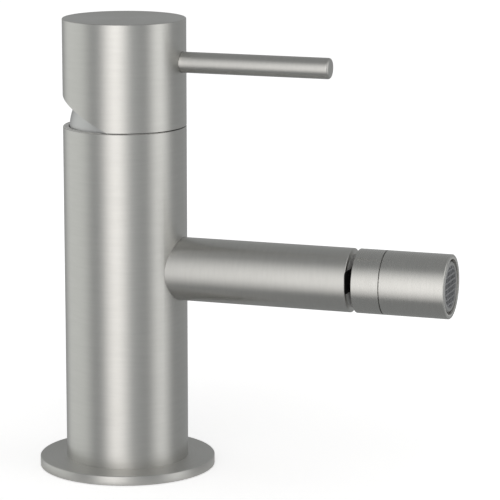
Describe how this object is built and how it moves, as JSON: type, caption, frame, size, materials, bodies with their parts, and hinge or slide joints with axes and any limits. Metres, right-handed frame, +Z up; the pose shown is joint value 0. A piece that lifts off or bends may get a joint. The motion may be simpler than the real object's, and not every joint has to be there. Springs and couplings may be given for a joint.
{
  "type": "bidet mixer",
  "caption": "Single-lever bidet mixer: round body on a base flange, tilting head with a pin lever, and a level tube spout whose nozzle swivels on a ball joint.",
  "frame": {"origin": "centre of the base flange's underside, on the fixing stud's axis", "axes": "+Z up the body, +X along the spout towards the nozzle"},
  "size_m": [0.1452, 0.0604, 0.155],
  "materials": {
    "brushed_nickel": "fine brushed nickel",
    "satin_nickel": "satin nickel",
    "steel": "machined steel",
    "brass": "turned brass",
    "ceramic": "lapped ceramic",
    "white_plastic": "moulded",
    "black_plastic": "turned, satin",
    "grey_plastic": "moulded",
    "rubber": "matt"
  },
  "bodies": {
    "root": {"mixer_body": "brushed_nickel", "base_flange": "brushed_nickel", "base_gasket": "rubber", "cartridge_base": "white_plastic", "port_seals": "rubber", "fixed_disc": "ceramic", "cartridge_housing": "white_plastic", "cartridge_nut": "brass", "cover_dome": "satin_nickel", "spout_tube": "brushed_nickel", "spout_oring": "rubber", "nose_plug": "satin_nickel", "plug_oring": "rubber", "ball_stem": "black_plastic"},
    "rotor": {"cartridge_rotor": "white_plastic", "stem_oring": "rubber", "pivot_pin": "steel"},
    "valve": {"moving_disc": "ceramic", "disc_carrier": "white_plastic"},
    "head": {"handle_head": "brushed_nickel", "lever_rod": "brushed_nickel", "grub_screw": "steel", "spindle": "steel"},
    "ball_ring": {"ball_seat": "white_plastic"},
    "nozzle": {"swivel_collar": "brushed_nickel", "nozzle_sleeve": "brushed_nickel", "aerator_washer": "rubber", "aerator_body": "satin_nickel", "flow_plate": "grey_plastic", "aerator_grille": "grey_plastic"}
  },
  "joints": [
    {"name": "handle_turn", "type": "hinge", "parent": "root", "child": "rotor", "pos_m": [0, 0, 0.1175], "axis": [0, 0, 1], "range_deg": [-45, 45]},
    {"name": "handle_lift", "type": "hinge", "parent": "rotor", "child": "head", "pos_m": [0, 0, 0.1175], "axis": [0, -1, 0], "range_deg": [0, 25]},
    {"name": "disc_slide", "type": "slide", "parent": "rotor", "child": "valve", "axis": [1, 0, 0], "range_m": [0, 0.00394]},
    {"name": "swivel_turn", "type": "hinge", "parent": "root", "child": "ball_ring", "pos_m": [0.09, 0, 0.07], "axis": [1, 0, 0], "continuous": true},
    {"name": "swivel_tilt", "type": "hinge", "parent": "ball_ring", "child": "nozzle", "pos_m": [0.09, 0, 0.07], "axis": [0, 1, 0], "range_deg": [-10, 10]}
  ],
  "couplings": [
    {"joint": "disc_slide", "follows": "handle_lift", "m_per_rad": 0.009008}
  ]
}
